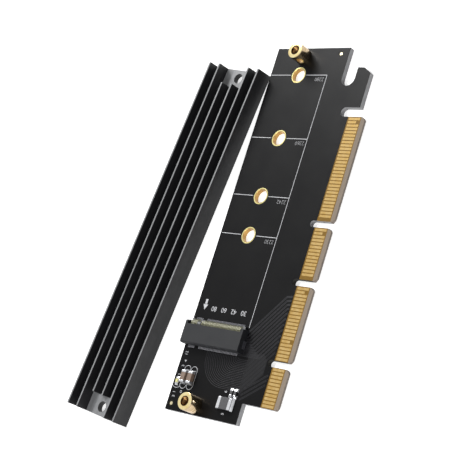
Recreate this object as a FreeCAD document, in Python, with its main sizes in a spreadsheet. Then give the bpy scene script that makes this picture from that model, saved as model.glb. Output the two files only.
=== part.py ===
import FreeCAD
import Part
import math
import os

V = FreeCAD.Vector

# Adapter card lying on its back, with its finned heat sink lying beside it.
# Board axes: x grows towards the contact edge, y from the bracket end to the hook end, z up.

doc = FreeCAD.newDocument("AdapterCard")
sheet = doc.addObject("Spreadsheet::Sheet", "Dimensions")

dimensions = {
    # board
    "boardLength": 111.65,
    "boardWidth": 39.3,
    "boardThick": 1.6,
    "tongueDepth": 12.15,       # main edge to contact edge
    "bracketStep": 6.0,         # bracket end to the first tab
    "maskDepth": 0.05,          # solder mask is missing round the copper
    "cornerRadius": 0.8,
    "bevelDepth": 1.2,
    "bevelAngle": 20.0,
    # edge connector
    "pinPitch": 1.0,
    "keyGap": 1.9,              # width of the key and the two relief notches
    "notchDepth": 7.7,
    "fingerWidth": 0.7,
    "fingerLow": 1.3,           # contact edge to the near end of a finger
    "fingerHigh": 5.3,
    "shortFinger": 1.1,         # presence pins start this much later
    "maskEdge": 5.75,
    # retention hook
    "slotWidth": 4.65,
    "slotFloor": 99.8,
    "prongWidth": 4.95,
    "prongTop": 105.45,
    "prongChamferAcross": 2.7,
    "prongChamferAlong": 1.7,
    "prongFoot": 93.15,
    "hookNotchDepth": 8.8,
    # module socket and its fixing holes
    "moduleAxis": 10.8,         # back edge to the module's centre line
    "moduleDatum": 23.05,       # bracket end to the module's inserted end
    "ringHole": 2.05,
    "ringWall": 0.1,
    "ringFlange": 2.7,
    # spacers
    "spacerInset": 2.75,
    "spacerRadius": 2.5,
    "spacerHeight": 4.6,
    "spacerShank": 1.9,
    "spacerBore": 1.25,
    "spacerMouth": 1.55,
    "spacerRim": 0.25,
    "spacerSunk": 0.1,          # shank's end above the board's back
    # module socket
    "socketWidth": 22.0,
    "socketHeight": 2.4,
    "socketRear": 4.0,          # module datum back to the rear wall
    "socketLip": 3.55,          # module datum forward to the lower jaw's edge
    "socketJaw": 1.65,          # module datum forward to the upper jaw's edge
    "socketEar": 2.85,
    "socketFloor": 0.85,
    "socketSlot": 0.9,
    "socketWall": 0.85,
    "keyOffset": 6.12,
    "keyWidth": 1.2,
    "keyRoot": 0.35,            # how far the key rib runs into the upper jaw
    "contactPitch": 0.5,
    "contactWidth": 0.22,
    "contactThick": 0.15,
    "contactLip": 0.08,         # lower contacts stop this far inside the lip
    "tailReach": 0.65,
    "pegOffset": 9.6,
    "pegWide": 0.8,             # hole radii; each peg is a little thinner
    "pegNarrow": 0.55,
    "pegDepth": 1.3,
    "pegPlay": 0.05,
    "holdDownReach": 0.3,
    "holdDownHeight": 0.9,
    "holdDownRear": 2.6,        # module datum back to the foot's two ends
    "holdDownFront": 0.4,
    # aiming dots
    "dotRadius": 0.5,
    "dotClear": 1.0,
    "dotHookX": 24.3,
    "dotHookY": 109.75,
    "dotBracketX": 1.75,
    "dotBracketY": 1.9,
    # small components: a chip's body stands a little below its plated ends
    "chipStep": 0.03,
    "capacitorLong": 3.4,
    "capacitorWide": 1.6,
    "capacitorHigh": 1.3,
    "capacitorBand": 0.6,
    "capacitorOuterX": 3.9,
    "capacitorInnerX": 6.45,
    "capacitorY": 9.9,
    "fuseLong": 5.0,
    "fuseWide": 3.3,
    "fuseHigh": 1.0,
    "fuseBand": 1.05,
    "fuseX": 21.5,
    "fuseY": 4.9,
    "resistorLong": 1.7,
    "resistorWide": 0.8,
    "resistorHigh": 0.45,
    "resistorBand": 0.35,
    "resistorLeftX": 22.4,
    "resistorRightX": 23.8,
    "resistorY": 8.15,
    "ledLong": 1.7,
    "ledWide": 0.9,
    "ledHigh": 0.3,
    "ledBand": 0.3,
    "ledX": 1.5,
    "ledY": 8.4,
    "lensLong": 1.0,
    "lensWide": 0.84,
    "lensHigh": 0.33,
    # heat sink
    "sinkLength": 111.6,
    "sinkHeight": 5.6,
    "sinkBase": 1.8,
    "finPitch": 4.15,
    "finThick": 0.95,
    "finTip": 0.6,
    "pocketLength": 5.9,
    "sinkHole": 1.6,
    "sinkAlong": 49.05,         # centre of the heat sink, from the board's corner
    "sinkAcross": -18.5,
    "sinkTurn": 6.5,            # its hook end leans towards the board
}

for row, (name, value) in enumerate(dimensions.items(), start=1):
    sheet.set("A%d" % row, name)
    sheet.set("B%d" % row, str(value))
    sheet.setAlias("B%d" % row, name)
doc.recompute()


def dim(name):
    return float(sheet.get(name))


def cell(name):
    return "Dimensions." + name


# Where the board's corner lies, so that the whole part is centred on the origin.
turn = math.radians(dim("sinkTurn"))
sinkWidth = 5 * dim("finPitch") + dim("finThick")
sinkReachAlong = dim("sinkLength") / 2 * math.cos(turn) + sinkWidth / 2 * math.sin(turn)
sinkReachAcross = dim("sinkLength") / 2 * math.sin(turn) + sinkWidth / 2 * math.cos(turn)
lowX = dim("sinkAcross") - sinkReachAcross
lowY = dim("sinkAlong") - sinkReachAlong
corner = V(-(lowX + dim("boardWidth")) / 2, -(lowY + dim("boardLength")) / 2, 0)
boardTop = dim("boardThick")
mainEdge = dim("boardWidth") - dim("tongueDepth")
tabEnd = 0.65                 # end pin's centre to the tab's side
keyEnd = 0.55                 # the same beside the key
pinOne = dim("bracketStep") + tabEnd


# ---------------------------------------------------------------- helpers

parts = []


def plane(body, role):
    return next(f for f in body.Origin.OriginFeatures if f.Role == role)


def newBody(name, place=None):
    body = doc.addObject("PartDesign::Body", name)
    body.Label = name
    body.AllowCompound = True
    body.Placement = FreeCAD.Placement(corner + (place or V(0, 0, 0)), FreeCAD.Rotation())
    parts.append(body)
    return body


def newSketch(body, name, role="XY_Plane", height=0.0):
    sketch = body.newObject("Sketcher::SketchObject", name)
    sketch.AttachmentSupport = (plane(body, role), [""])
    sketch.MapMode = "FlatFace"
    sketch.AttachmentOffset = FreeCAD.Placement(V(0, 0, height), FreeCAD.Rotation())
    return sketch


def line(sketch, x1, y1, x2, y2):
    sketch.addGeometry(Part.LineSegment(V(x1, y1, 0), V(x2, y2, 0)), False)


def polygon(sketch, points):
    for (x1, y1), (x2, y2) in zip(points, points[1:] + points[:1]):
        line(sketch, x1, y1, x2, y2)


def rectangle(sketch, x1, y1, x2, y2):
    polygon(sketch, [(x1, y1), (x2, y1), (x2, y2), (x1, y2)])


def circle(sketch, x, y, radius):
    sketch.addGeometry(Part.Circle(V(x, y, 0), V(0, 0, 1), radius), False)


def pad(body, sketch, name, length, midplane=False):
    feature = body.newObject("PartDesign::Pad", name)
    feature.Profile = sketch
    feature.setExpression("Length", length)
    feature.Midplane = midplane
    body.Tip = feature
    return feature


def pocket(body, sketch, name, depth=None, up=False, both=False):
    feature = body.newObject("PartDesign::Pocket", name)
    feature.Profile = sketch
    feature.Reversed = up
    if depth is None:
        feature.Type = 1                      # through all
        feature.Midplane = both
    else:
        feature.setExpression("Length", depth)
    body.Tip = feature
    return feature


def revolve(body, sketch, name):
    feature = body.newObject("PartDesign::Revolution", name)
    feature.Profile = sketch
    feature.ReferenceAxis = (sketch, ["V_Axis"])
    feature.Angle = 360
    body.Tip = feature
    return feature


# ---------------------------------------------------------------- board

# Pins that the board carries on each tab, counted from the bracket end.
pinRuns = [(1, 11), (12, 32), (36, 49), (53, 82)]
shortPins = {"front": (17, 31, 48, 81), "back": (1,)}


def pinPlace(pin):
    """Distance of a pin's centre from the bracket end."""
    return pinOne + (pin - 1 if pin <= 11 else pin + 1) * dim("pinPitch")


tabs = [(pinPlace(first) - tabEnd, pinPlace(last) + tabEnd) for first, last in pinRuns]
tabs[0] = (tabs[0][0], pinPlace(11) + keyEnd)
tabs[1] = (pinPlace(12) - keyEnd, tabs[1][1])
tabs[2] = (tabs[1][1] + dim("keyGap"), tabs[2][1])
tabs[3] = (tabs[2][1] + dim("keyGap"), tabs[3][1])

moduleSizes = (30, 42, 60, 80)
spacerPlaces = (dim("spacerInset"), dim("boardLength") - dim("spacerInset"))
pegs = ((-dim("pegOffset"), dim("pegWide")), (dim("pegOffset"), dim("pegNarrow")))
dots = ((dim("dotHookX"), dim("dotHookY")), (dim("dotBracketX"), dim("dotBracketY")))


class Outline:
    """A closed run of lines and round ends, drawn point by point."""

    def __init__(self, sketch, x, y):
        self.sketch = sketch
        self.start = (x, y)
        self.at = (x, y)

    def to(self, x, y):
        line(self.sketch, self.at[0], self.at[1], x, y)
        self.at = (x, y)

    def roundEnd(self, x, y, bulge):
        """Half circle from the present point to x, y, reaching out along the bulge direction."""
        middle = V((self.at[0] + x) / 2, (self.at[1] + y) / 2, 0)
        radius = math.hypot(self.at[0] - x, self.at[1] - y) / 2
        arc = Part.Arc(V(*self.at, 0), middle + bulge * radius, V(x, y, 0))
        self.sketch.addGeometry(arc, False)
        self.at = (x, y)

    def close(self):
        self.to(*self.start)


def buildBoard():
    body = newBody("pcb")
    width = dim("boardWidth")
    length = dim("boardLength")
    cut = dim("cornerRadius")
    gap = dim("keyGap") / 2
    inward = V(-1, 0, 0)
    clear = 1.0               # how far a cut runs past the board
    maskSide = 0.2            # mask opening past the tab's sides

    sketch = newSketch(body, "BoardOutline")
    edge = Outline(sketch, 0, 0)
    edge.to(mainEdge, 0)
    edge.to(mainEdge, tabs[0][0])
    for low, high in tabs:
        edge.to(width - cut, low)
        edge.to(width, low + cut)
        edge.to(width, high - cut)
        edge.to(width - cut, high)
        if high < tabs[-1][1]:
            edge.to(width - dim("notchDepth") + gap, high)
            edge.roundEnd(edge.at[0], high + dim("keyGap"), inward)
    prong = mainEdge + dim("slotWidth")
    prongEdge = prong + dim("prongWidth")
    notch = (dim("prongFoot") - tabs[-1][1]) / 2
    edge.to(width - dim("hookNotchDepth") + notch, tabs[-1][1])
    edge.roundEnd(edge.at[0], dim("prongFoot"), inward)
    edge.to(prongEdge, dim("prongFoot"))
    edge.to(prongEdge, dim("prongTop") - dim("prongChamferAlong"))
    edge.to(prongEdge - dim("prongChamferAcross"), dim("prongTop"))
    edge.to(prong, dim("prongTop"))
    edge.to(prong, dim("slotFloor") + dim("slotWidth") / 2)
    edge.roundEnd(mainEdge, edge.at[1], V(0, -1, 0))
    edge.to(mainEdge, length)
    edge.to(0, length)
    edge.close()
    pad(body, sketch, "BoardPad", cell("boardThick"))

    # bevel along both faces of the contact edge
    rise = dim("bevelDepth") * math.tan(math.radians(dim("bevelAngle")))
    sketch = newSketch(body, "EdgeBevel", "XZ_Plane")
    for face, side in ((0, 1), (dim("boardThick"), -1)):
        polygon(sketch, [(width - dim("bevelDepth"), face), (width + clear, face - side * clear),
                         (width + clear, face + side * rise), (width, face + side * rise)])
    pocket(body, sketch, "BevelCut", both=True)

    # drilled holes: module fixings, spacers and the socket's two locating pegs
    sketch = newSketch(body, "Drilling")
    for size in moduleSizes:
        circle(sketch, dim("moduleAxis"), dim("moduleDatum") + size, dim("ringHole") + dim("ringWall"))
    for y in spacerPlaces:
        circle(sketch, dim("moduleAxis"), y, dim("spacerShank"))
    for x, radius in pegs:
        circle(sketch, dim("moduleAxis") + x, dim("moduleDatum"), radius)
    pocket(body, sketch, "DrillCut", up=True)

    # bare zones, where the solder mask stops short of the copper
    for name, height, up in (("Front", dim("boardThick"), False), ("Back", 0, True)):
        sketch = newSketch(body, name + "MaskOpening", height=height)
        for low, high in tabs:
            rectangle(sketch, width - dim("maskEdge"), low - maskSide, width + clear, high + maskSide)
        for size in moduleSizes:
            circle(sketch, dim("moduleAxis"), dim("moduleDatum") + size, dim("ringFlange"))
        if name == "Front":
            for x, y in dots:
                circle(sketch, x, y, dim("dotClear"))
        pocket(body, sketch, name + "MaskCut", cell("maskDepth"), up=up)


buildBoard()


def buildFingers(side):
    """Gold contacts of one face, flush with its solder mask."""
    body = newBody("edge_fingers_" + side)
    depth = dim("maskDepth")
    base = boardTop - depth if side == "front" else 0.0
    sketch = newSketch(body, "Fingers" + side, height=base)
    half = dim("fingerWidth") / 2
    for first, last in pinRuns:
        for pin in range(first, last + 1):
            late = dim("shortFinger") if pin in shortPins[side] else 0.0
            rectangle(sketch, dim("boardWidth") - dim("fingerHigh"), pinPlace(pin) - half,
                      dim("boardWidth") - dim("fingerLow") - late, pinPlace(pin) + half)
    pad(body, sketch, "FingerPad" + side, cell("maskDepth"))


buildFingers("front")
buildFingers("back")


def buildRing(size):
    """Plated fixing hole: a barrel with a flange on each face."""
    body = newBody("m2_hole_ring_%d" % size, V(dim("moduleAxis"), dim("moduleDatum") + size, 0))
    hole = dim("ringHole")
    wall = hole + dim("ringWall")
    flange = dim("ringFlange")
    skin = dim("maskDepth")
    sketch = newSketch(body, "RingSection%d" % size, "XZ_Plane")
    polygon(sketch, [(hole, 0), (flange, 0), (flange, skin), (wall, skin), (wall, boardTop - skin),
                     (flange, boardTop - skin), (flange, boardTop), (hole, boardTop)])
    revolve(body, sketch, "RingTurn%d" % size)


for size in moduleSizes:
    buildRing(size)


def buildSpacer(name, y):
    """Round brass spacer with a threaded bore, its shank pressed through the board."""
    body = newBody(name, V(dim("moduleAxis"), y, 0))
    top = boardTop + dim("spacerHeight")
    rim = dim("spacerRim")
    low = dim("spacerSunk")
    mouth = dim("spacerMouth") - dim("spacerBore")
    sketch = newSketch(body, name + "Section", "XZ_Plane")
    polygon(sketch, [(dim("spacerBore"), low), (dim("spacerShank"), low), (dim("spacerShank"), boardTop),
                     (dim("spacerRadius"), boardTop), (dim("spacerRadius"), top - rim),
                     (dim("spacerRadius") - rim, top), (dim("spacerMouth"), top),
                     (dim("spacerBore"), top - mouth)])
    revolve(body, sketch, name + "Turn")


buildSpacer("spacer_bracket_end", spacerPlaces[0])
buildSpacer("spacer_hook_end", spacerPlaces[1])


# Two gold aiming dots at opposite corners.
body = newBody("fiducial_dots", V(0, 0, boardTop - dim("maskDepth")))
sketch = newSketch(body, "Dots")
for x, y in dots:
    circle(sketch, x, y, dim("dotRadius"))
pad(body, sketch, "DotPad", cell("maskDepth"))


# ---------------------------------------------------------------- module socket

socketPlace = V(dim("moduleAxis"), dim("moduleDatum"), boardTop)
lowerSink = 0.22              # lower contacts lie this far below the jaw's face


def contactPlaces(row):
    """Offsets of the contacts from the centre line; the key's pins are left out."""
    pitch = dim("contactPitch")
    count = 38 if row == "upper" else 37
    places = [(index - (count - 1) / 2) * pitch for index in range(count)]
    reach = dim("keyWidth") / 2 + dim("contactWidth")
    return [x for x in places if abs(x + dim("keyOffset")) > reach]


def buildSocket():
    body = newBody("m2_housing", socketPlace)
    half = dim("socketWidth") / 2
    wall = dim("socketWall")
    rear = dim("socketRear")
    slotTop = dim("socketFloor") + dim("socketSlot")
    bevel = 0.25
    clear = 1.0

    # lower jaw, with a notch in its lip where the key stands
    sketch = newSketch(body, "LowerJaw")
    polygon(sketch, [(-half, -rear), (half, -rear), (half, dim("socketEar")),
                     (half - wall, dim("socketEar")), (half - wall, dim("socketLip")),
                     (wall - half, dim("socketLip")), (wall - half, dim("socketEar")),
                     (-half, dim("socketEar"))])
    pad(body, sketch, "LowerJawPad", cell("socketFloor"))

    # rear wall, upper jaw and the two ears that guide the module's sides
    sketch = newSketch(body, "RearWall", height=dim("socketFloor"))
    polygon(sketch, [(-half, -rear), (half, -rear), (half, dim("socketEar")),
                     (half - wall, dim("socketEar")), (half - wall, 0), (wall - half, 0),
                     (wall - half, dim("socketEar")), (-half, dim("socketEar"))])
    pad(body, sketch, "RearWallPad", cell("socketSlot"))
    sketch = newSketch(body, "UpperJaw", height=slotTop)
    polygon(sketch, [(-half, -rear), (half, -rear), (half, dim("socketEar") - bevel),
                     (half - wall, dim("socketEar") - bevel), (half - wall, dim("socketJaw")),
                     (wall - half, dim("socketJaw")), (wall - half, dim("socketEar") - bevel),
                     (-half, dim("socketEar") - bevel)])
    pad(body, sketch, "UpperJawPad", "%s - %s - %s" % tuple(cell(n) for n in
                                                        ("socketHeight", "socketFloor", "socketSlot")))

    # key rib standing across the slot
    key = dim("keyOffset")
    rib = dim("keyWidth") / 2
    sketch = newSketch(body, "KeyRib", height=dim("socketFloor"))
    root = 0.2
    rectangle(sketch, -key - rib, -root, -key + rib, dim("socketEar") - bevel)
    pad(body, sketch, "KeyRibPad", "%s + %s" % (cell("socketSlot"), cell("keyRoot")))

    # locating pegs that go down into the board
    sketch = newSketch(body, "Pegs", height=-dim("pegDepth"))
    for x, radius in pegs:
        circle(sketch, x, 0, radius - dim("pegPlay"))
    pad(body, sketch, "PegPad", cell("pegDepth"))

    # sloping rear edge of the top
    top = dim("socketHeight")
    fall = 0.55
    slope = 0.35
    sketch = newSketch(body, "RearSlope", "YZ_Plane")
    polygon(sketch, [(-rear - clear, top - fall - slope), (-rear, top - fall), (slope - rear, top),
                     (-rear - clear, top + clear)])
    pocket(body, sketch, "RearSlopeCut", both=True)

    # contact slots cut forward through the jaws
    room = 0.04
    across = dim("contactWidth") / 2 + room
    bite = 0.05
    slots = (("upper", slotTop - bite, slotTop + dim("contactThick") + 2 * room),
             ("lower", dim("socketFloor") - lowerSink - 2 * room, dim("socketFloor") + bite))
    for row, low, high in slots:
        sketch = newSketch(body, row + "Slots", "XZ_Plane")
        for x in contactPlaces(row):
            rectangle(sketch, x - across, low, x + across, high)
        pocket(body, sketch, row + "SlotCut", "%s + %g" % (cell("socketLip"), clear))


def buildContacts(row):
    """One row of sprung contacts with their solder tails."""
    body = newBody("m2_%s_contacts" % row, socketPlace)
    thick = dim("contactThick")
    floor = dim("socketFloor")
    slotTop = floor + dim("socketSlot")
    jaw = dim("socketJaw")
    if row == "upper":
        level = slotTop + 0.02
        bend = jaw + 0.6              # the spring leaves the jaw and dips towards the module
        outer = [(0, level), (bend, level), (bend + 0.75, slotTop - 0.2)]
    else:
        level = floor - lowerSink
        outer = [(0, level), (jaw, level), (dim("socketLip") - dim("contactLip"), floor - 0.05)]
    lifted = [(y, z + thick) for y, z in reversed(outer)]
    for x in contactPlaces(row):
        name = "%s%d" % (row, len(body.Group))
        sketch = newSketch(body, name, "YZ_Plane", x)
        polygon(sketch, outer + lifted)
        pad(body, sketch, name + "Pad", cell("contactWidth"), midplane=True)
    side = -1 if row == "upper" else 1
    wall = -dim("socketRear") if row == "upper" else dim("socketLip")
    sketch = newSketch(body, row + "Tails")
    for x in contactPlaces(row):
        half = dim("contactWidth") / 2
        rectangle(sketch, x - half, wall, x + half, wall + side * dim("tailReach"))
    pad(body, sketch, row + "TailPad", cell("contactThick"))


buildSocket()
buildContacts("upper")
buildContacts("lower")

# Solder tabs that hold the socket's two ends down.
body = newBody("m2_hold_downs", socketPlace)
half = dim("socketWidth") / 2
sketch = newSketch(body, "HoldDownFeet")
for side in (-1, 1):
    rectangle(sketch, side * half, -dim("holdDownRear"),
              side * (half + dim("holdDownReach")), -dim("holdDownFront"))
pad(body, sketch, "HoldDownPad", cell("holdDownHeight"))


# ---------------------------------------------------------------- small components

def chip(name, kind, place, along="y"):
    """Chip component: a ceramic body between two plated ends, each its own node."""
    long = dim(kind + "Long") / 2
    wide = dim(kind + "Wide") / 2
    inner = long - dim(kind + "Band")

    def block(target, low, high, tag, rise):
        sketch = newSketch(target, name + tag)
        if along == "y":
            rectangle(sketch, -wide, low, wide, high)
        else:
            rectangle(sketch, low, -wide, high, wide)
        pad(target, sketch, name + tag + "Pad", rise)

    full = cell(kind + "High")
    middle = newBody(name, place)
    block(middle, -inner, inner, "Core", "%s - %s" % (full, cell("chipStep")))
    ends = newBody(name + "_ends", place)
    block(ends, -long, -inner, "Low", full)
    block(ends, inner, long, "High", full)


def spot(x, y):
    """Place on the component side whose coordinates the sheet holds under these names."""
    return V(dim(x), dim(y), boardTop)


chip("capacitor_outer", "capacitor", spot("capacitorOuterX", "capacitorY"))
chip("capacitor_inner", "capacitor", spot("capacitorInnerX", "capacitorY"))
chip("fuse", "fuse", spot("fuseX", "fuseY"), along="x")
chip("resistor_left", "resistor", spot("resistorLeftX", "resistorY"))
chip("resistor_right", "resistor", spot("resistorRightX", "resistorY"))

# indicator, with a clear yellow lens moulded over its chip
ledPlace = spot("ledX", "ledY")
chip("led_base", "led", ledPlace)
body = newBody("led_lens", ledPlace + V(0, 0, dim("ledHigh") - dim("chipStep")))
sketch = newSketch(body, "Lens")
wide = dim("lensWide") / 2
long = dim("lensLong") / 2
rectangle(sketch, -wide, -long, wide, long)
pad(body, sketch, "LensPad", cell("lensHigh"))


# ---------------------------------------------------------------- heat sink

def newSinkBody(name):
    body = newBody(name)
    centre = corner + V(dim("sinkAcross"), dim("sinkAlong"), 0)
    body.Placement = FreeCAD.Placement(centre, FreeCAD.Rotation(V(0, 0, -1), dim("sinkTurn")))
    return body


def buildSinkBase():
    """Base plate of the extrusion, with a screw hole near each end."""
    body = newSinkBody("heat_sink_base")
    sketch = newSketch(body, "SinkBase")
    half = sinkWidth / 2
    end = dim("sinkLength") / 2
    rectangle(sketch, -half, -end, half, end)
    pad(body, sketch, "SinkBasePad", cell("sinkBase"))
    sketch = newSketch(body, "ScrewHoles")
    for y in spacerPlaces:
        circle(sketch, 0, y - dim("boardLength") / 2, dim("sinkHole"))
    pocket(body, sketch, "ScrewHoleCut", up=True)


def buildSinkFins():
    """Fins of the extrusion; the two in the middle are cut back at both ends for the screws."""
    body = newSinkBody("heat_sink_fins")
    base = dim("sinkBase")
    top = dim("sinkHeight")
    root = dim("finThick") / 2
    tip = dim("finTip") / 2
    full = cell("sinkLength")
    for name, rows, length in (("Long", (-2.5, -1.5, 1.5, 2.5), full),
                               ("Short", (-0.5, 0.5), "%s - 2 * %s" % (full, cell("pocketLength")))):
        sketch = newSketch(body, name + "FinSection", "XZ_Plane")
        for row in rows:
            x = row * dim("finPitch")
            polygon(sketch, [(x - root, base), (x + root, base), (x + tip, top), (x - tip, top)])
        pad(body, sketch, name + "FinPad", length, midplane=True)


buildSinkBase()
buildSinkFins()


# ---------------------------------------------------------------- check and write

doc.recompute()
faults = [o.Name for o in doc.Objects if "Invalid" in o.State or "Error" in o.State]
if faults:
    raise RuntimeError("failed features: " + ", ".join(faults))
for part in parts:
    if part.Shape.isNull() or not part.Shape.isValid():
        raise RuntimeError("bad shape: " + part.Label)

os.makedirs("parts", exist_ok=True)
for part in parts:
    part.Shape.exportStep("parts/%s.step" % part.Label)
    box = part.Shape.BoundBox
    print("%-22s solids %3d volume %9.3f  z %.2f..%.2f" % (part.Label, len(part.Shape.Solids),
                                                           part.Shape.Volume, box.ZMin, box.ZMax))
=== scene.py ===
import math
import bmesh
import bpy
from mathutils import Matrix, Vector


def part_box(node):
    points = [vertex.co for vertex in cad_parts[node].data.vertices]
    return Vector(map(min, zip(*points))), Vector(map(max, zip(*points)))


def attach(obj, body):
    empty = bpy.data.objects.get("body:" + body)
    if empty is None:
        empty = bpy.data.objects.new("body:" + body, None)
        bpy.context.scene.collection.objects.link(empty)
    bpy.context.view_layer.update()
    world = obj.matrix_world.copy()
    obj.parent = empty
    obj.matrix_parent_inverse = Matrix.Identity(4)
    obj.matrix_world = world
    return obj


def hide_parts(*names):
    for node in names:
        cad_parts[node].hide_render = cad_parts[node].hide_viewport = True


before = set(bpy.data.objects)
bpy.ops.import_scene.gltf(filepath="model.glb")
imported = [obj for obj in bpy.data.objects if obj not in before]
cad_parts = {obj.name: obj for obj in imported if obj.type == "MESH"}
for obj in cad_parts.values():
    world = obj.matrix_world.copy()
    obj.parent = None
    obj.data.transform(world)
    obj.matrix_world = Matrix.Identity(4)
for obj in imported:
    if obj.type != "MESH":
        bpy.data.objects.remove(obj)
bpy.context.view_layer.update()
scene = bpy.context.scene
mm = 0.001
boardLow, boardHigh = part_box("pcb")
boardHalf = (boardHigh.z - boardLow.z) / 2
moduleLengths = (30, 42, 60, 80)  # each has a plated hole
print("frame loaded with", len(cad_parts), "nodes")


# Places. Lengths in the dictionaries are millimetres, angles are degrees.

def onBoard(x, y, lift=0.0):  # from the back edge and the bracket end, above the component side
    return Vector((boardLow.x + x * mm, boardLow.y + y * mm, boardHigh.z + lift * mm))


def middle(node):
    low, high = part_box(node)
    return (low + high) / 2


def boardSpot(node):  # a node's centre in millimetres from the back edge and the bracket end
    centre = middle(node)
    return (centre.x - boardLow.x) / mm, (centre.y - boardLow.y) / mm


def ringNode(length):
    return "m2_hole_ring_%d" % length


def towards(azimuth, elevation):  # unit vector from the object to a lamp or the camera
    a, e = math.radians(azimuth), math.radians(elevation)
    return Vector((math.sin(a) * math.cos(e), -math.cos(a) * math.cos(e), math.sin(e)))


# Node helpers

def tone(code):  # "#2b2b2d" as the linear colour a shader takes
    parts = [int(code[i:i + 2], 16) / 255 for i in (1, 3, 5)]
    return [p / 12.92 if p <= 0.04045 else ((p + 0.055) / 1.055) ** 2.4 for p in parts] + [1.0]


def addNode(tree, kind, inputs=None, **settings):
    node = tree.nodes.new(kind)
    for name, value in settings.items():
        setattr(node, name, value)
    for name, value in (inputs or {}).items():
        if isinstance(value, bpy.types.NodeSocket):
            tree.links.new(value, node.inputs[name])
        else:
            node.inputs[name].default_value = value
    return node


def maths(tree, operation, first, second=0.0):
    return addNode(tree, "ShaderNodeMath", {0: first, 1: second}, operation=operation).outputs[0]


def band(tree, value, low, high):  # one between the limits, nought outside
    above = maths(tree, "GREATER_THAN", value, low)
    below = maths(tree, "LESS_THAN", value, high)
    return maths(tree, "MULTIPLY", above, below)


def blendTone(tree, mask, below, above):  # sockets 6 and 7 of a Mix node are its two colours
    return addNode(tree, "ShaderNodeMix", {0: mask, 6: below, 7: above}, data_type="RGBA").outputs[2]


def newGroup(name, inputs, outputs):
    tree = bpy.data.node_groups.new(name, "ShaderNodeTree")
    for label, kind, value in inputs:
        socket = tree.interface.new_socket(label, in_out="INPUT", socket_type="NodeSocket" + kind)
        if value is not None:
            socket.default_value = value
    for label, kind in outputs:
        tree.interface.new_socket(label, in_out="OUTPUT", socket_type="NodeSocket" + kind)
    source = addNode(tree, "NodeGroupInput").outputs
    target = addNode(tree, "NodeGroupOutput").inputs
    return tree, source, target


# Shared effects
effects = dict(driftDetail=4.0, driftBreak=0.6, driftFrom=0.3, driftTo=0.7, grainDetail=3.0)


def makeDrift():  # a colour and a roughness that wander slowly over the surface
    facts = effects
    inputs = [("Vector", "Vector", None), ("Scale", "Float", 400.0),
              ("Light", "Color", (1, 1, 1, 1)), ("Dark", "Color", (0, 0, 0, 1)),
              ("Smooth", "Float", 0.3), ("Rough", "Float", 0.5)]
    tree, source, target = newGroup("drift", inputs, [("Color", "Color"), ("Roughness", "Float")])
    noise = addNode(tree, "ShaderNodeTexNoise", {
        "Vector": source["Vector"], "Scale": source["Scale"],
        "Detail": facts["driftDetail"], "Roughness": facts["driftBreak"]})
    spread = addNode(tree, "ShaderNodeMapRange", {
        "Value": noise.outputs["Fac"],
        "From Min": facts["driftFrom"], "From Max": facts["driftTo"]}).outputs[0]
    rough = addNode(tree, "ShaderNodeMapRange", {
        "Value": spread, "To Min": source["Smooth"], "To Max": source["Rough"]}).outputs[0]
    tree.links.new(blendTone(tree, spread, source["Light"], source["Dark"]), target["Color"])
    tree.links.new(rough, target["Roughness"])
    return tree


def makeGrain():  # fine height for moulded, plated and brushed faces
    inputs = [("Vector", "Vector", None), ("Scale", "Float", 9000.0)]
    tree, source, target = newGroup("grain", inputs, [("Height", "Float")])
    fine = addNode(tree, "ShaderNodeTexNoise", {
        "Vector": source["Vector"], "Scale": source["Scale"], "Detail": effects["grainDetail"]})
    tree.links.new(fine.outputs["Fac"], target["Height"])
    return tree


driftGroup = makeDrift()
grainGroup = makeGrain()


def wander(tree, place, scale, tones, rough):  # drift between two tones and two roughnesses
    return addNode(tree, "ShaderNodeGroup", {
        "Vector": place, "Scale": scale, "Light": tone(tones[0]), "Dark": tone(tones[1]),
        "Smooth": rough[0], "Rough": rough[1]}, node_tree=driftGroup).outputs


def grainHeight(tree, place, scale):
    inputs = {"Vector": place, "Scale": scale}
    return addNode(tree, "ShaderNodeGroup", inputs, node_tree=grainGroup).outputs["Height"]


def newMaterial(name, metallic=0.0, gloss=0.5):
    material = bpy.data.materials.new(name)
    material.use_nodes = True
    shader = material.node_tree.nodes["Principled BSDF"]
    shader.inputs["Metallic"].default_value = metallic
    shader.inputs["Specular IOR Level"].default_value = gloss
    return material, material.node_tree


def placeAndFacing(tree):
    coordinates = addNode(tree, "ShaderNodeTexCoord").outputs
    return coordinates["Object"], coordinates["Normal"]


def partsOf(tree, vector):  # its x, y and z
    return addNode(tree, "ShaderNodeSeparateXYZ", {0: vector}).outputs


def moved(tree, vector, **settings):  # stretched, turned or shifted
    return addNode(tree, "ShaderNodeMapping", {"Vector": vector, **settings}).outputs[0]


def fromMidplane(tree, height):  # distance from the middle of the board's thickness
    return maths(tree, "ABSOLUTE", maths(tree, "SUBTRACT", height, middle("pcb").z))


def dress(tree, colour, roughness, height, rise):  # rise is what a height of one stands for
    shader = tree.nodes["Principled BSDF"]
    bump = addNode(tree, "ShaderNodeBump", {"Height": height, "Distance": rise * mm, "Strength": 1.0})
    tree.links.new(colour, shader.inputs["Base Color"])
    tree.links.new(roughness, shader.inputs["Roughness"])
    tree.links.new(bump.outputs[0], shader.inputs["Normal"])


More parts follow.
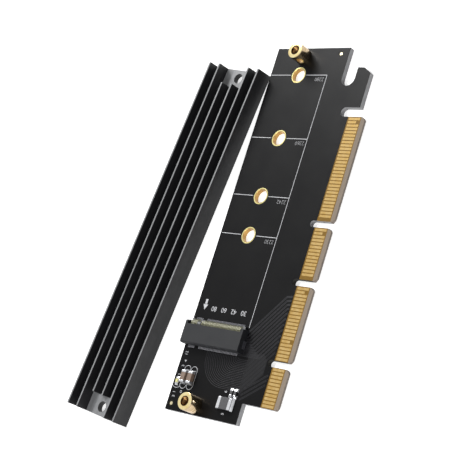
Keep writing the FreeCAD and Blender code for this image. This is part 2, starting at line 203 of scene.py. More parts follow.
# Plain finishes: the surface wanders between the two tones, drift and grain are texture scales per metre
finishes = {
    "goldPlate": dict(tones=("#d4b77e", "#bd9a59"), metallic=1.0, rough=(0.16, 0.21),
                      drift=900, grain=9000, bump=0.0003),
    "paleGold": dict(tones=("#dfd5b6", "#c5b993"), metallic=1.0, rough=(0.2, 0.35),
                     drift=900, grain=9000, bump=0.0015),
    "socketPlastic": dict(tones=("#222326", "#1c1d1f"), gloss=0.22, rough=(0.42, 0.55),
                          drift=300, grain=9000, bump=0.002),
    # A dark tin tone for the hold-downs, as painted shade at the socket's ends
    "shadedTin": dict(tones=("#4c4c52", "#36363b"), metallic=0.3, rough=(0.4, 0.5),
                    drift=1500, grain=6000, bump=0.01),
    "tin": dict(tones=("#dcdde0", "#adafb3"), metallic=0.75, rough=(0.2, 0.42),
                drift=1400, grain=5000, bump=0.02),
    "ceramicBrown": dict(tones=("#8a7668", "#6f5c4f"), rough=(0.35, 0.5),
                         drift=1200, grain=12000, bump=0.008),
    "ceramicGrey": dict(tones=("#444447", "#38383b"), rough=(0.4, 0.55),
                        drift=900, grain=12000, bump=0.01),
    "ledBody": dict(tones=("#eceadf", "#d9d5c2"), rough=(0.35, 0.5),
                    drift=900, grain=9000, bump=0.005),
    "ledLens": dict(tones=("#e9e6a6", "#d6d084"), rough=(0.08, 0.16),
                    drift=900, grain=4000, bump=0.004),
    "maskedCopper": dict(tones=("#303033", "#262629"), gloss=0.12, rough=(0.4, 0.5),
                         drift=600, grain=2500, bump=0.002),
    "maskedTrace": dict(tones=("#252528", "#1e1e21"), gloss=0.12, rough=(0.4, 0.5),
                        drift=600, grain=2500, bump=0.002),
    "maskedPour": dict(tones=("#151517", "#111113"), gloss=0.13, rough=(0.4, 0.5),
                       drift=600, grain=2500, bump=0.002),
    "legendInk": dict(tones=("#d2d3d6", "#b4b5b9"), rough=(0.5, 0.7),
                      drift=2500, grain=9000, bump=0.006),
}


def makeFinish(name):
    facts = finishes[name]
    material, tree = newMaterial(name, facts.get("metallic", 0.0), facts.get("gloss", 0.5))
    place, _ = placeAndFacing(tree)
    tint = wander(tree, place, facts["drift"], facts["tones"], facts["rough"])
    height = grainHeight(tree, place, facts["grain"])
    dress(tree, tint["Color"], tint["Roughness"], height, facts["bump"])
    return material


materials = {name: makeFinish(name) for name in finishes}


# Brass: the up-facing end faces bright as a painted highlight, the side duller and the bore brown as painted
# shade
brass = dict(face=("#efe3b2", "#dbc182"), faceDrift=500.0, side=("#cbb799", "#937d5b"), sideDrift=300.0,
             bore=("#8a6a42", "#5a4228"), boreDrift=900.0, boreRadius=1.45, rough=(0.14, 0.24),
             upFrom=0.4, toolMarks=14, grain=5000.0, bump=0.001)


def makeBrass():
    facts = brass
    material, tree = newMaterial("brass", metallic=1.0)
    place, normal = placeAndFacing(tree)
    position = partsOf(tree, place)
    near, far = middle("spacer_bracket_end"), middle("spacer_hook_end")
    across = maths(tree, "SUBTRACT", position[0], near.x)
    along = maths(tree, "ABSOLUTE", maths(tree, "SUBTRACT", position[1], (near.y + far.y) / 2))
    along = maths(tree, "SUBTRACT", along, (far.y - near.y) / 2)  # one sum serves both spacers
    square = maths(tree, "ADD", maths(tree, "MULTIPLY", across, across),
                   maths(tree, "MULTIPLY", along, along))
    # Inside the bore the brown tone is painted shade
    boreShade = maths(tree, "LESS_THAN", square, (facts["boreRadius"] * mm) ** 2)
    # Up-facing faces take the bright tone as a painted highlight, the side the duller tone as painted shade
    up = maths(tree, "GREATER_THAN", partsOf(tree, normal)[2], facts["upFrom"])
    turned = moved(tree, place, Scale=(1, 1, facts["toolMarks"]))
    face = wander(tree, place, facts["faceDrift"], facts["face"], facts["rough"])
    side = wander(tree, turned, facts["sideDrift"], facts["side"], facts["rough"])
    bore = wander(tree, place, facts["boreDrift"], facts["bore"], facts["rough"])
    colour = blendTone(tree, up, side["Color"], face["Color"])
    colour = blendTone(tree, boreShade, colour, bore["Color"])
    height = grainHeight(tree, turned, facts["grain"])
    dress(tree, colour, face["Roughness"], height, facts["bump"])
    return material


# Plated holes: one plating in three tones, a pale rim, which lies highest, as a painted highlight, and a
# duller floor inside it and a browner barrel as painted shade
ringFinish = dict(rim=("#dcd49c", "#c8bd7e"), rimDrift=900.0, rimDeep=0.008, floor=("#bfa268", "#9c7f48"),
                  barrel=("#c7a262", "#937345"), drift=700.0, rough=(0.2, 0.3), flatFrom=0.4,
                  grain=7000.0, bump=0.001)


def makeRingPlate():
    facts = ringFinish
    material, tree = newMaterial("ringPlate", metallic=1.0)
    place, normal = placeAndFacing(tree)
    depth = fromMidplane(tree, partsOf(tree, place)[2])
    # The raised rim takes the pale tone as a painted highlight
    proud = maths(tree, "GREATER_THAN", depth, boardHalf - facts["rimDeep"] * mm)
    # The flat floor and the upright barrel take duller and browner tones as painted shade
    flat = maths(tree, "GREATER_THAN", maths(tree, "ABSOLUTE", partsOf(tree, normal)[2]), facts["flatFrom"])
    rim = wander(tree, place, facts["rimDrift"], facts["rim"], facts["rough"])
    floor = wander(tree, place, facts["drift"], facts["floor"], facts["rough"])
    barrel = wander(tree, place, facts["drift"], facts["barrel"], facts["rough"])
    colour = blendTone(tree, flat, barrel["Color"], floor["Color"])
    colour = blendTone(tree, proud, colour, rim["Color"])
    height = grainHeight(tree, place, facts["grain"])
    dress(tree, colour, floor["Roughness"], height, facts["bump"])
    return material


# Socket contacts: pale gold springs whose tails are grey with solder
contactFinish = dict(spring=("#9a9980", "#6d6c54"), tail=("#a6a6ab", "#7a7a80"), tailTop=0.2,
                     metallic=0.15, gloss=0.2, rough=(0.4, 0.5), drift=1500.0, grain=9000.0, bump=0.002)


def makeContact():
    facts = contactFinish
    material, tree = newMaterial("contactMetal", facts["metallic"], facts["gloss"])
    place, _ = placeAndFacing(tree)
    soldered = maths(tree, "LESS_THAN", partsOf(tree, place)[2], boardHigh.z + facts["tailTop"] * mm)
    spring = wander(tree, place, facts["drift"], facts["spring"], facts["rough"])
    tail = wander(tree, place, facts["drift"], facts["tail"], facts["rough"])
    colour = blendTone(tree, soldered, spring["Color"], tail["Color"])
    height = grainHeight(tree, place, facts["grain"])
    dress(tree, colour, spring["Roughness"], height, facts["bump"])
    return material


# Board: black solder mask over glass cloth, with bare laminate at the edges and round the contacts
boardFinish = dict(mask=("#08080a", "#060607"), maskDrift=120.0, maskRough=(0.34, 0.4), maskDeep=0.045,
                   edge=("#b9b9bb", "#919193"), edgeDrift=900.0, edgeRough=(0.6, 0.8),
                   layers=(0.4, 0.4, 9.0),  # stretches the drift into the laminate's layers
                   wallTo=0.5, bevelTo=0.98, bevel="#978a7c",  # how far up a wall or the bevel may face
                   clearing="#191812", clearingDeep=(0.04, 0.06), bare="#84652c", fingerZone=7.0,
                   # keyGap paints the walls of the key notches darker than the other edges, as painted shade
                   # inside the notches
                   tabEnd="#8a8078", tabEndDeep=1.25, keyGap="#42413e", keyGapDeep=8.2,
                   keyGaps=((17.1, 19.2), (40.2, 42.3)),  # from the bracket end
                   weavePitch=0.45, weaveHeight=0.0003, peelGrain=2500.0, peelHeight=0.002, gloss=0.085)


def makeBoard():
    facts = boardFinish
    material, tree = newMaterial("solderMask", gloss=facts["gloss"])
    place, normal = placeAndFacing(tree)
    position = partsOf(tree, place)
    depth = fromMidplane(tree, position[2])
    upright = maths(tree, "ABSOLUTE", partsOf(tree, normal)[2])

    def nearContactEdge(reach):  # one within reach of the edge that the contacts run to
        return maths(tree, "GREATER_THAN", position[0], boardHigh.x - reach * mm)

    shallow, deep = facts["clearingDeep"]
    cleared = band(tree, depth, boardHalf - deep * mm, boardHalf - shallow * mm)  # floors cut in the mask
    byFingers = nearContactEdge(facts["fingerZone"])
    slope = maths(tree, "MULTIPLY", band(tree, upright, facts["wallTo"], facts["bevelTo"]), byFingers)
    side = maths(tree, "MULTIPLY", maths(tree, "LESS_THAN", upright, facts["wallTo"]),
                 maths(tree, "LESS_THAN", depth, boardHalf - facts["maskDeep"] * mm))  # below the mask

    mask = wander(tree, place, facts["maskDrift"], facts["mask"], facts["maskRough"])
    layers = moved(tree, place, Scale=facts["layers"])
    edge = wander(tree, layers, facts["edgeDrift"], facts["edge"], facts["edgeRough"])
    gaps = [band(tree, position[1], onBoard(0, low).y, onBoard(0, high).y) for low, high in facts["keyGaps"]]
    inGap = maths(tree, "MULTIPLY", maths(tree, "MAXIMUM", *gaps), nearContactEdge(facts["keyGapDeep"]))
    # Painted shade on the walls of the key notches
    wall = blendTone(tree, inGap, edge["Color"], tone(facts["keyGap"]))
    wall = blendTone(tree, nearContactEdge(facts["tabEndDeep"]), wall, tone(facts["tabEnd"]))
    bare = blendTone(tree, byFingers, tone(facts["clearing"]), tone(facts["bare"]))
    colour = blendTone(tree, cleared, mask["Color"], bare)
    colour = blendTone(tree, slope, colour, tone(facts["bevel"]))
    colour = blendTone(tree, side, colour, wall)
    cut = maths(tree, "MAXIMUM", side, slope)
    rough = addNode(tree, "ShaderNodeMix", {0: cut, 2: mask["Roughness"], 3: edge["Roughness"]}).outputs[0]

    turns = 2 * math.pi / (facts["weavePitch"] * mm)  # the cloth's threads, a wave each way
    warp = maths(tree, "SINE", maths(tree, "MULTIPLY", position[0], turns))
    weft = maths(tree, "SINE", maths(tree, "MULTIPLY", position[1], turns))
    weave = maths(tree, "MULTIPLY", maths(tree, "MULTIPLY", warp, weft), facts["weaveHeight"])
    peel = maths(tree, "MULTIPLY", grainHeight(tree, place, facts["peelGrain"]), facts["peelHeight"])
    dress(tree, colour, rough, maths(tree, "ADD", weave, peel), 1.0)
    return material


# Heat sink: black anodised extrusion, lighter on the up faces of the fin tips and of the end pockets that a
# cutter has made: partly bare worn or cut metal, partly a painted highlight for the sheen on these tops
sinkFinish = dict(black=("#1b1b1d", "#131315"), blackDrift=200.0, wornAndSheen=("#8e8f91", "#77787a"),
                  wornAndSheenDrift=1500.0, rough=(0.38, 0.5), gloss=0.4, turn=6.5, drawn=0.02,
                  upFrom=0.7, tipFrom=2.0, pocketFrom=49.8, pocketHalf=6.2, grain=6000.0, streak=0.006)


def makeAnodised():
    facts = sinkFinish
    material, tree = newMaterial("anodised", gloss=facts["gloss"])
    place, normal = placeAndFacing(tree)
    turn = Matrix.Rotation(math.radians(facts["turn"]), 3, "Z")
    origin = -(turn @ middle("heat_sink_base"))
    straight = moved(tree, place, Rotation=turn.to_euler(), Location=origin)  # the heat sink's own axes
    drawn = moved(tree, straight, Scale=(1, facts["drawn"], 1))  # the die's marks run lengthwise
    position = partsOf(tree, straight)
    across = maths(tree, "ABSOLUTE", position[0])
    along = maths(tree, "ABSOLUTE", position[1])
    pocket = maths(tree, "MULTIPLY", maths(tree, "GREATER_THAN", along, facts["pocketFrom"] * mm),
                   maths(tree, "LESS_THAN", across, facts["pocketHalf"] * mm))
    tip = maths(tree, "GREATER_THAN", position[2], facts["tipFrom"] * mm)
    up = maths(tree, "GREATER_THAN", partsOf(tree, normal)[2], facts["upFrom"])
    # Up-facing fin tips and pocket floors take the lighter tone: worn or cut metal, and a painted highlight
    # for their sheen
    light = maths(tree, "MULTIPLY", up, maths(tree, "MAXIMUM", pocket, tip))
    black = wander(tree, place, facts["blackDrift"], facts["black"], facts["rough"])
    wornAndSheen = wander(tree, drawn, facts["wornAndSheenDrift"], facts["wornAndSheen"], facts["rough"])
    colour = blendTone(tree, light, black["Color"], wornAndSheen["Color"])
    streaks = grainHeight(tree, drawn, facts["grain"])
    dress(tree, colour, black["Roughness"], streaks, facts["streak"])
    return material


materials.update(brass=makeBrass(), ringPlate=makeRingPlate(), contactMetal=makeContact(),
                 solderMask=makeBoard(), anodised=makeAnodised())
print("materials made:", len(materials))


# CAD nodes that are shown as they are
nodeFinish = {
    "pcb": "solderMask", "edge_fingers_front": "goldPlate", "edge_fingers_back": "goldPlate",
    "fiducial_dots": "paleGold", "m2_upper_contacts": "contactMetal", "m2_lower_contacts": "contactMetal",
    # The hold-downs take a dark tin tone as painted shade
    "m2_hold_downs": "shadedTin",
}
for node, finish in nodeFinish.items():
    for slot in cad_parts[node].material_slots:
        slot.material = materials[finish]


# New pieces
meshing = dict(weld=0.0005, sliver=0.0002, flatAngle=0.5, cornerAngle=35, roundSteps=2)


def addPiece(name, work, finish, stands=(), sharpAngle=32):
    mesh = bpy.data.meshes.new(name)
    bmesh.ops.dissolve_degenerate(work, dist=meshing["sliver"] * mm, edges=work.edges)
    work.to_mesh(mesh)
    work.free()
    mesh.polygons.foreach_set("use_smooth", [True] * len(mesh.polygons))
    mesh.set_sharp_from_angle(angle=math.radians(sharpAngle))
    mesh.materials.append(materials[finish])
    piece = bpy.data.objects.new(name, mesh)
    scene.collection.objects.link(piece)
    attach(piece, "root")
    if stands:
        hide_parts(*stands)


def roundEdges(work, edges, radius):
    bmesh.ops.bevel(work, geom=edges, offset=radius * mm, offset_type="OFFSET", affect="EDGES",
                    segments=meshing["roundSteps"], profile=0.5, material=-1, clamp_overlap=True)


def thicken(work, height):  # flat faces become a closed slab
    raised = bmesh.ops.extrude_face_region(work, geom=work.faces[:])
    top = [v for v in raised["geom"] if isinstance(v, bmesh.types.BMVert)]
    bmesh.ops.translate(work, vec=(0, 0, height), verts=top)
    bmesh.ops.recalc_face_normals(work, faces=work.faces)


def drawSection(work, points, centre):  # a closed outline of (radius, height) corners
    verts = [work.verts.new(centre + Vector((r * mm, 0, z * mm))) for r, z in points]
    return verts + [work.edges.new(ends) for ends in zip(verts, verts[1:] + verts[:1])]


def spinProfile(work, points, centre, steps):  # the section turned once round the upright axis
    bmesh.ops.spin(work, geom=drawSection(work, points, centre), cent=centre, axis=(0, 0, 1),
                   angle=2 * math.pi, steps=steps, use_merge=True)


def footOf(node):  # the middle of a node's lowest level
    low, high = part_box(node)
    return Vector(((low.x + high.x) / 2, (low.y + high.y) / 2, low.z))


# Hard CAD nodes with their edges broken, each by its own radius
softEdges = dict(sinkBase=0.12, fins=0.14, finFoot=0.1, housing=0.07, housingFrom=2.0,
                 chip=0.03, chipEnd=0.07, lens=0.12, sharpAngle=20)
chips = {  # small parts, and the axis that runs from one plated end to the other
    "capacitor_outer": dict(finish="ceramicBrown", slot="ceramic_brown", axis="y"),
    "capacitor_inner": dict(finish="ceramicBrown", slot="ceramic_brown", axis="y"),
    "fuse": dict(finish="ceramicGrey", slot="ceramic_black", axis="x"),
    "resistor_left": dict(finish="ceramicGrey", slot="ceramic_black", axis="y"),
    "resistor_right": dict(finish="ceramicGrey", slot="ceramic_black", axis="y"),
    "led_base": dict(finish="ledBody", slot="led_white", axis="y"),
}


def soften(node, finish, radius, chosen=None):
    work = bmesh.new()
    work.from_mesh(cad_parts[node].data)
    bmesh.ops.remove_doubles(work, verts=work.verts, dist=meshing["weld"] * mm)
    bmesh.ops.dissolve_limit(work, angle_limit=math.radians(meshing["flatAngle"]),
                             verts=work.verts, edges=work.edges)
    corner = math.radians(meshing["cornerAngle"])
    edges = [e for e in work.edges if len(e.link_faces) == 2 and e.calc_face_angle(0.0) > corner]
    if chosen:
        edges = [e for e in edges if chosen(e)]
    roundEdges(work, edges, radius)
    addPiece(node + "_shown", work, finish, [node], softEdges["sharpAngle"])


def aboveFoot(edge):  # all of a fin's edges but those on the base plate
    return max(v.co.z for v in edge.verts) > baseTop + softEdges["finFoot"] * mm


def longEdge(edge):  # the edges of the contact slots are shorter, and stay sharp
    return edge.calc_length() > softEdges["housingFrom"] * mm


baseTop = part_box("heat_sink_base")[1].z
soften("heat_sink_base", "anodised", softEdges["sinkBase"])
soften("heat_sink_fins", "anodised", softEdges["fins"], aboveFoot)
soften("m2_housing", "socketPlastic", softEdges["housing"], longEdge)
for part, chip in chips.items():
    soften(part, chip["finish"], softEdges["chip"])
    soften(part + "_ends", "tin", softEdges["chipEnd"])
soften("led_lens", "ledLens", softEdges["lens"])
print("CAD nodes softened")


# Plated holes: a barrel between two narrow flanges, each with a sunk floor round the mouth
ring = dict(hole=2.05, mouth=0.05, step=(2.2, 2.22), sunk=0.02, flange=2.5, skin=0.05, wall=2.15,
            steps=96, sharpAngle=12)


def makeRing(node):
    facts = ring
    low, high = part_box(node)
    thick = (high.z - low.z) / mm
    inner, outer = facts["step"]
    lip = [(facts["hole"], facts["mouth"] + facts["sunk"]), (facts["hole"] + facts["mouth"], facts["sunk"]),
           (inner, facts["sunk"]), (outer, 0), (facts["flange"], 0), (facts["flange"], facts["skin"]),
           (facts["wall"], facts["skin"])]
    section = lip + [(r, thick - z) for r, z in reversed(lip)]
    work = bmesh.new()
    spinProfile(work, section, footOf(node), facts["steps"])
    bmesh.ops.recalc_face_normals(work, faces=work.faces)
    addPiece(node + "_shown", work, "ringPlate", [node], facts["sharpAngle"])


for length in moduleLengths:
    makeRing(ringNode(length))
print("holes plated")


# Spacers: turned brass with a cut thread, whose ridge has its corners at parts of the pitch
spacer = dict(shank=1.9, rim=0.14, rimRound=0.3, mouth=1.44, mouthDeep=0.1, steps=64,
              bore=1.25, root=1.4, rootOverlap=0.02, pitch=0.5, ridge=(0.0, 0.4, 0.55, 0.95),
              threadFoot=0.1, threadShort=0.9, threadSteps=28)


def addThread(work, centre, tall):  # a closed ridge wound up the bore, its two ends filled
    facts = spacer
    turns = (tall - facts["threadShort"]) / facts["pitch"]
    steps = int(turns * facts["threadSteps"])
    start = centre + Vector((0, 0, facts["threadFoot"] * mm))
    outer = facts["root"] + facts["rootOverlap"]
    radii = (outer, facts["bore"], facts["bore"], outer)
    section = [(r, facts["pitch"] * part) for r, part in zip(radii, facts["ridge"])]
    bmesh.ops.spin(work, geom=drawSection(work, section, start), cent=start, axis=(0, 0, 1),
                   angle=turns * 2 * math.pi, steps=steps,
                   dvec=(0, 0, turns * facts["pitch"] * mm / steps))
    bmesh.ops.holes_fill(work, edges=[e for e in work.edges if e.is_boundary], sides=len(radii))


def makeSpacer(node):
    facts = spacer
    low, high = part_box(node)
    radius = (high.x - low.x) / 2 / mm
    tall = (high.z - low.z) / mm
    shoulder = (boardHigh.z - low.z) / mm
    rim = facts["rim"]
    soft = rim * facts["rimRound"]
    section = [(facts["root"], 0), (facts["shank"], 0), (facts["shank"], shoulder), (radius, shoulder),
               (radius, tall - rim), (radius - soft, tall - soft), (radius - rim, tall),
               (facts["mouth"], tall), (facts["root"], tall - facts["mouthDeep"])]
    work = bmesh.new()
    spinProfile(work, section, footOf(node), facts["steps"])
    addThread(work, footOf(node), tall)
    bmesh.ops.recalc_face_normals(work, faces=work.faces)
    addPiece(node + "_shown", work, "brass", [node])


for node in ("spacer_bracket_end", "spacer_hook_end"):
    makeSpacer(node)
print("spacers turned")


# Flat raised lines, used for the printed legend and for copper under the mask

def meshOf(curve):  # a curve or text as a mesh, with the draft removed
    draft = bpy.data.objects.new("draft", curve)
    scene.collection.objects.link(draft)
    mesh = bpy.data.meshes.new_from_object(draft.evaluated_get(bpy.context.evaluated_depsgraph_get()))
    bpy.data.objects.remove(draft)
    bpy.data.curves.remove(curve)
    return mesh


def lineMesh(paths, width, height):  # paths are pairs of points and whether they close
    curve = bpy.data.curves.new("draft", "CURVE")
    curve.dimensions = "3D"
    curve.bevel_depth = width * mm / 2
    curve.bevel_resolution = 1
    curve.use_fill_caps = True
    for path, closed in paths:
        spline = curve.splines.new("POLY")
        spline.points.add(len(path) - 1)
        spline.use_cyclic_u = closed
        for point, spot in zip(spline.points, path):
            point.co = (*onBoard(*spot).xy, 0, 1)
    mesh = meshOf(curve)
    work = bmesh.new()
    work.from_mesh(mesh)
    bpy.data.meshes.remove(mesh)
    flat = Matrix.Diagonal((1, 1, height / (width / 2), 1))
    bmesh.ops.transform(work, matrix=Matrix.Translation((0, 0, boardHigh.z)) @ flat, verts=work.verts)
    return work


def arc(x, y, radius, start, end, steps=10):
    angles = [math.radians(start + (end - start) * i / steps) for i in range(steps + 1)]
    return [(x + radius * math.cos(a), y + radius * math.sin(a)) for a in angles]


def capsule(x, y, halfLong, halfWide):
    straight = halfLong - halfWide
    return arc(x, y + straight, halfWide, 0, 180) + arc(x, y - straight, halfWide, 180, 360)


# Printed guide lines: one across each hole, and a rail beside the module
legend = dict(line=0.17, height=0.02, edge=0.35, railX=21.46, railFoot=26.65, ringGap=2.95)


def makeLegendLines():
    facts = legend
    paths = []
    for length in moduleLengths:
        x, y = boardSpot(ringNode(length))
        paths.append(([(facts["edge"], y), (x - facts["ringGap"], y)], False))
        paths.append(([(x + facts["ringGap"], y), (facts["railX"], y)], False))
    top = boardSpot(ringNode(moduleLengths[-1]))[1]
    paths.append(([(facts["railX"], facts["railFoot"]), (facts["railX"], top)], False))
    return lineMesh(paths, facts["line"], facts["height"])


# Printed outlines round the small parts
outlines = dict(line=0.13, height=0.02, capacitor=(3.35, 1.17),
                ledRadius=1.95, ledArcs=((205, 320), (70, 110)),
                cornerX=(-0.75, 2.15), cornerY=(0.5, 1.35), cornerArm=1.05, dot=(3.95, 5.6, 0.32))


def makePartOutlines():
    facts = outlines
    paths = [(capsule(*boardSpot(node), *facts["capacitor"]), True)
             for node in ("capacitor_outer", "capacitor_inner")]
    for start, end in facts["ledArcs"]:
        paths.append((arc(*boardSpot("led_base"), facts["ledRadius"], start, end), False))
    x, y = boardSpot("resistor_left")
    left, right = facts["cornerX"]
    near, far = facts["cornerY"]
    for sign in (-1, 1):
        for shift, arm in ((left, facts["cornerArm"]), (right, -facts["cornerArm"])):
            paths.append(([(x + shift, y + sign * near), (x + shift, y + sign * far),
                           (x + shift + arm, y + sign * far)], False))
    paths.append((arc(*facts["dot"], 0, 360), True))
    return lineMesh(paths, facts["line"], facts["height"])


addPiece("legend_lines", makeLegendLines(), "legendInk")
addPiece("legend_outlines", makePartOutlines(), "legendInk")


# Printed figures: the lengths above the socket, a size beside each hole, and marks by the small parts
figures = dict(thick=0.006, lift=0.012, rounding=3, rowSize=2.05, row=("30   42   60   80", 12.3, 30.45),
               labelSize=1.7, labelThin=-0.045, labelShift=(-2.4, -1.3), labelWidth="22", markSize=1.3,
               marks=(("1", 1.5, 5.2), ("2", 1.7, 4.0), ("3", 1.8, 12.9), ("12", 1.7, 16.6),
                      ("4", 2.2, 14.4), ("5", 21.4, 2.1), ("6", 20.2, 8.2)))


def printFigures(work, body, x, y, size, turn, offset=0.0):  # a negative offset thins the strokes
    font = bpy.data.curves.new("draft", "FONT")
    font.body = body
    font.size = size * mm
    font.align_x = "CENTER"
    font.align_y = "CENTER"
    font.extrude = figures["thick"] * mm
    font.resolution_u = figures["rounding"]
    font.offset = offset * mm
    mesh = meshOf(font)
    place = Matrix.Translation(onBoard(x, y, figures["lift"])) @ Matrix.Rotation(math.radians(turn), 4, "Z")
    mesh.transform(place)
    work.from_mesh(mesh)
    bpy.data.meshes.remove(mesh)


def makeNumbers():
    facts = figures
    work = bmesh.new()
    printFigures(work, *facts["row"], facts["rowSize"], 180)
    for length in moduleLengths:
        x = legend["railX"] + facts["labelShift"][0]
        y = boardSpot(ringNode(length))[1] + facts["labelShift"][1]
        body = facts["labelWidth"] + str(length)
        printFigures(work, body, x, y, facts["labelSize"], 180, facts["labelThin"])
    for mark in facts["marks"]:
        printFigures(work, *mark, facts["markSize"], 90)
    return work


# Printed arrow: the shaft's length and both shifts are parts of the whole length
arrow = dict(spot=(3.05, 31.6), length=2.5, width=0.8, head=1.05, shaft=0.55, shaftShift=0.25,
             headShift=-0.3, thick=0.012, lift=0.004)


def makeArrow():
    facts = arrow
    length = facts["length"]
    work = bmesh.new()
    bmesh.ops.create_grid(work, x_segments=1, y_segments=1, size=0.5)
    shaft = Matrix.Diagonal((facts["width"], length * facts["shaft"], 1, 1))
    bmesh.ops.transform(work, matrix=shaft, verts=work.verts)
    bmesh.ops.translate(work, vec=(0, length * facts["shaftShift"], 0), verts=work.verts)
    head = bmesh.ops.create_circle(work, cap_ends=True, segments=3, radius=facts["head"])["verts"]
    bmesh.ops.rotate(work, cent=(0, 0, 0), matrix=Matrix.Rotation(math.radians(180), 3, "Z"), verts=head)
    bmesh.ops.translate(work, vec=(0, length * facts["headShift"], 0), verts=head)
    thicken(work, facts["thick"])
    place = Matrix.Translation(onBoard(*facts["spot"], facts["lift"])) @ Matrix.Scale(mm, 4)
    bmesh.ops.transform(work, matrix=place, verts=work.verts)
    return work


addPiece("legend_numbers", makeNumbers(), "legendInk")
addPiece("legend_arrow", makeArrow(), "legendInk")
print("legend printed")


# Copper that shows through the mask: tracks in pairs, single tracks and one broad area
pair = dict(width=0.19, height=0.022, gap=0.34, angle=50)


def pairOf(path):  # two parallel tracks along one route
    rails = []
    for side in (-pair["gap"] / 2, pair["gap"] / 2):
        rail = []
        for i, (x, y) in enumerate(path):
            before = Vector(path[max(i - 1, 0)])
            after = Vector(path[min(i + 1, len(path) - 1)])
            along = (after - before).normalized()
            rail.append((x - side * along.y, y + side * along.x))
        rails.append((rail, False))
    return rails


# Pairs from beside the socket's end up to the second tab
bundle = dict(count=10, first=(22.7, 26.4), pitch=1.02, run=13.6, shorter=0.62, lead=2.2, leadX=19.0,
              fingersAt=33.3, fingersGap=0.5, fingersRise=0.2)


def makeBundle():
    facts = bundle
    angle = math.radians(pair["angle"])
    reach = Vector((math.cos(angle), math.sin(angle)))
    across = Vector((reach.y, -reach.x))
    paths = []
    for index in range(facts["count"]):
        start = Vector(facts["first"]) + across * facts["pitch"] * index
        room = (facts["fingersAt"] - facts["fingersGap"] - start.x) / reach.x
        end = start + reach * min(facts["run"] - facts["shorter"] * index, room)
        foot = start - reach * facts["lead"]
        last = (facts["fingersAt"], end.y + facts["fingersRise"])
        paths += pairOf([(facts["leadX"], foot.y), tuple(foot), tuple(end), last])
    return lineMesh(paths, pair["width"], pair["height"])


# Single tracks that leave the socket's rear tails, turn, and run to the copper area
nest = dict(width=0.12, height=0.014, count=20, firstX=21.0, tailPitch=0.62, tailY=18.1, pitch=0.46,
            bend=0.9, areaX=24.6)


def makeNest():
    facts = nest
    paths = []
    for index in range(facts["count"]):
        x = facts["firstX"] - facts["tailPitch"] * index
        drop = facts["pitch"] * (index + 1)
        bend = drop * facts["bend"]
        turn = arc(x + bend, facts["tailY"] - drop + bend, bend, 180, 270)
        paths.append(([(x, facts["tailY"])] + turn + [(facts["areaX"], facts["tailY"] - drop)], False))
    return lineMesh(paths, facts["width"], facts["height"])


# Steep pairs that climb over the copper area, and flatter ones that run on to the first tab
climb = dict(steep=(24.9, 8.4), steepPitch=1.59, steepTo=(31.0, 31.0, 33.0, 33.0, 27.9, 26.6),
             flat=(25.6, 6.7), flatPitch=1.35, flatTo=(33.0, 33.0, 33.0), flatAngle=36)


def makeClimb():
    facts = climb
    paths = []
    for (x, y), pitch, ends, angle in (
            (facts["steep"], facts["steepPitch"], facts["steepTo"], pair["angle"]),
            (facts["flat"], facts["flatPitch"], facts["flatTo"], facts["flatAngle"])):
        for index, farX in enumerate(ends):
            fromY = y + pitch * index
            paths += pairOf([(x, fromY), (farX, fromY + (farX - x) * math.tan(math.radians(angle)))])
    return lineMesh(paths, pair["width"], pair["height"])


# The broad area
copperArea = dict(thick=0.006, outline=((24.4, 9.2), (25.8, 9.2), (31.2, 14.6),
                                        (31.2, 18.4), (29.6, 20.2), (24.4, 19.6)))


def makeCopperArea():
    work = bmesh.new()
    work.faces.new([work.verts.new(onBoard(x, y)) for x, y in copperArea["outline"]])
    thicken(work, copperArea["thick"] * mm)
    return work


addPiece("copper_bundle", makeBundle(), "maskedCopper")
addPiece("copper_nest", makeNest(), "maskedCopper")
addPiece("copper_climb", makeClimb(), "maskedTrace")
addPiece("copper_area", makeCopperArea(), "maskedPour")
print("tracks laid")


# Solder: a ramp outside each plated end, on its pad
solder = dict(reach=0.42, side=0.1, climb=0.72, skin=0.04, edge=0.03)


def addFillet(work, low, high, way):  # box of the two plated ends, and the way that the ramp faces
    facts = solder
    size = high - low
    centre = (low + high) / 2
    across = Vector((way.y, way.x, 0))
    reach = facts["reach"] * mm
    wide = abs(size.dot(across)) + 2 * facts["side"] * mm
    tall = size.z * facts["climb"]
    cube = bmesh.ops.create_cube(work, size=1.0)["verts"]
    bmesh.ops.transform(work, matrix=Matrix.Diagonal((reach, wide, tall, 1)), verts=cube)
    bmesh.ops.translate(work, vec=(reach / 2, 0, tall / 2), verts=cube)
    for vert in cube:
        if vert.co.x > reach / 2 and vert.co.z > tall / 2:
            vert.co.z = facts["skin"] * mm
    face = Vector((centre.x + way.x * size.x / 2, centre.y + way.y * size.y / 2, low.z))
    turn = Matrix.Rotation(math.atan2(way.y, way.x), 4, "Z")
    bmesh.ops.transform(work, matrix=Matrix.Translation(face) @ turn, verts=cube)
    roundEdges(work, [e for e in work.edges if e.verts[0] in cube], facts["edge"])


def makeSolder(part, axis):
    low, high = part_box(part + "_ends")
    work = bmesh.new()
    for sign in (-1, 1):
        addFillet(work, low, high, Vector((sign, 0, 0)) if axis == "x" else Vector((0, sign, 0)))
    addPiece(part + "_solder", work, "tin")


for part, chip in chips.items():
    makeSolder(part, chip["axis"])
print("solder flowed")


# Stage
stage = dict(floorTone="#e8e8e8", floorGlow=0.66, floorHalf=4.0, floorDrop=0.02, sky=0.22)


def emptyTree(owner):
    owner.use_nodes = True
    owner.node_tree.nodes.clear()
    return owner.node_tree


def whiteForEye(tree, plain, shown):  # camera, mirror and glass rays see the shown shader
    path = addNode(tree, "ShaderNodeLightPath").outputs
    seen = maths(tree, "MAXIMUM", path["Is Camera Ray"], path["Is Glossy Ray"])
    seen = maths(tree, "MAXIMUM", seen, path["Is Transmission Ray"])
    return addNode(tree, "ShaderNodeMixShader", {0: seen, 1: plain, 2: shown}).outputs[0]


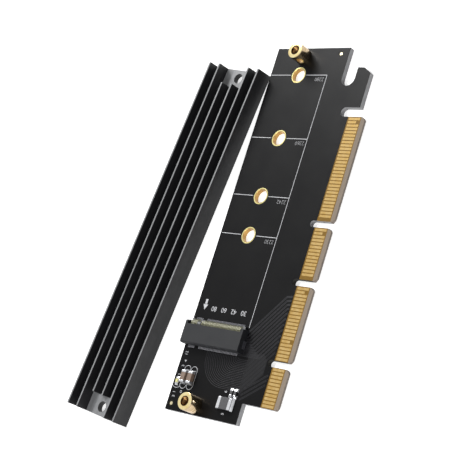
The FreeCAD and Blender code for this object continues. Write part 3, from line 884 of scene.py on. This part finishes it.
def makeFloor():
    work = bmesh.new()
    bmesh.ops.create_grid(work, x_segments=1, y_segments=1, size=stage["floorHalf"])
    mesh = bpy.data.meshes.new("floor")
    work.to_mesh(mesh)
    work.free()
    material = bpy.data.materials.new("floorWhite")
    tree = emptyTree(material)
    matt = addNode(tree, "ShaderNodeBsdfDiffuse", {"Color": tone(stage["floorTone"])}).outputs[0]
    glow = addNode(tree, "ShaderNodeEmission", {"Strength": stage["floorGlow"]}).outputs[0]
    lit = addNode(tree, "ShaderNodeAddShader", {0: matt, 1: glow}).outputs[0]
    addNode(tree, "ShaderNodeOutputMaterial", {0: whiteForEye(tree, matt, lit)})
    mesh.materials.append(material)
    floor = bpy.data.objects.new("floor", mesh)
    scene.collection.objects.link(floor)
    floor.location.z = -stage["floorDrop"] * mm


def makeWorld():
    scene.world = bpy.data.worlds.new("studio")
    tree = emptyTree(scene.world)
    white = (1, 1, 1, 1)
    plain = addNode(tree, "ShaderNodeBackground", {"Color": white, "Strength": stage["sky"]}).outputs[0]
    shown = addNode(tree, "ShaderNodeBackground", {"Color": white, "Strength": 1.0}).outputs[0]
    addNode(tree, "ShaderNodeOutputWorld", {0: whiteForEye(tree, plain, shown)})


# Lamps: distance and size are metres, power is watts
lamps = {
    "keyLamp": dict(azimuth=250, elevation=50, distance=0.9, size=0.2, power=6.0,
                    glossy=False, diffuse=True),  # beyond the card's back edge
    "fillLamp": dict(azimuth=30, elevation=35, distance=0.6, size=0.5, power=2.4,
                     glossy=True, diffuse=True),
    "sheenLamp": dict(azimuth=212, elevation=30, distance=0.9, size=0.45, power=31.0,
                      glossy=True, diffuse=False),  # low beyond the hook end, for the board's gloss
}


def addLamp(name):
    facts = lamps[name]
    light = bpy.data.lights.new(name, "AREA")
    light.shape = "DISK"
    light.size = facts["size"]
    light.energy = facts["power"]
    lamp = bpy.data.objects.new(name, light)
    scene.collection.objects.link(lamp)
    away = towards(facts["azimuth"], facts["elevation"])
    lamp.location = away * facts["distance"]
    lamp.rotation_euler = away.to_track_quat("Z", "Y").to_euler()
    lamp.visible_glossy = facts["glossy"]
    lamp.visible_diffuse = facts["diffuse"]


makeFloor()
makeWorld()
for name in lamps:
    addLamp(name)
print("stage set")


# Camera
eye = dict(target=(-2.18, 3.56, 0.0), distance=401.15, azimuth=72.446, elevation=44.406, roll=-59.911,
           lens=110.12, sensor=36.0, nearest=10.0)


def makeCamera():
    facts = eye
    data = bpy.data.cameras.new("camera")
    data.lens = facts["lens"]
    data.sensor_width = facts["sensor"]
    data.clip_start = facts["nearest"] * mm
    camera = bpy.data.objects.new("camera", data)
    scene.collection.objects.link(camera)
    turn = Matrix.Rotation(math.radians(facts["azimuth"]), 4, "Z")
    turn = turn @ Matrix.Rotation(math.radians(90 - facts["elevation"]), 4, "X")
    turn = turn @ Matrix.Rotation(math.radians(facts["roll"]), 4, "Z")
    away = towards(facts["azimuth"], facts["elevation"])
    place = (Vector(facts["target"]) + away * facts["distance"]) * mm
    camera.matrix_world = Matrix.Translation(place) @ turn
    scene.camera = camera


makeCamera()
scene.view_settings.view_transform = "Standard"
print("camera placed")
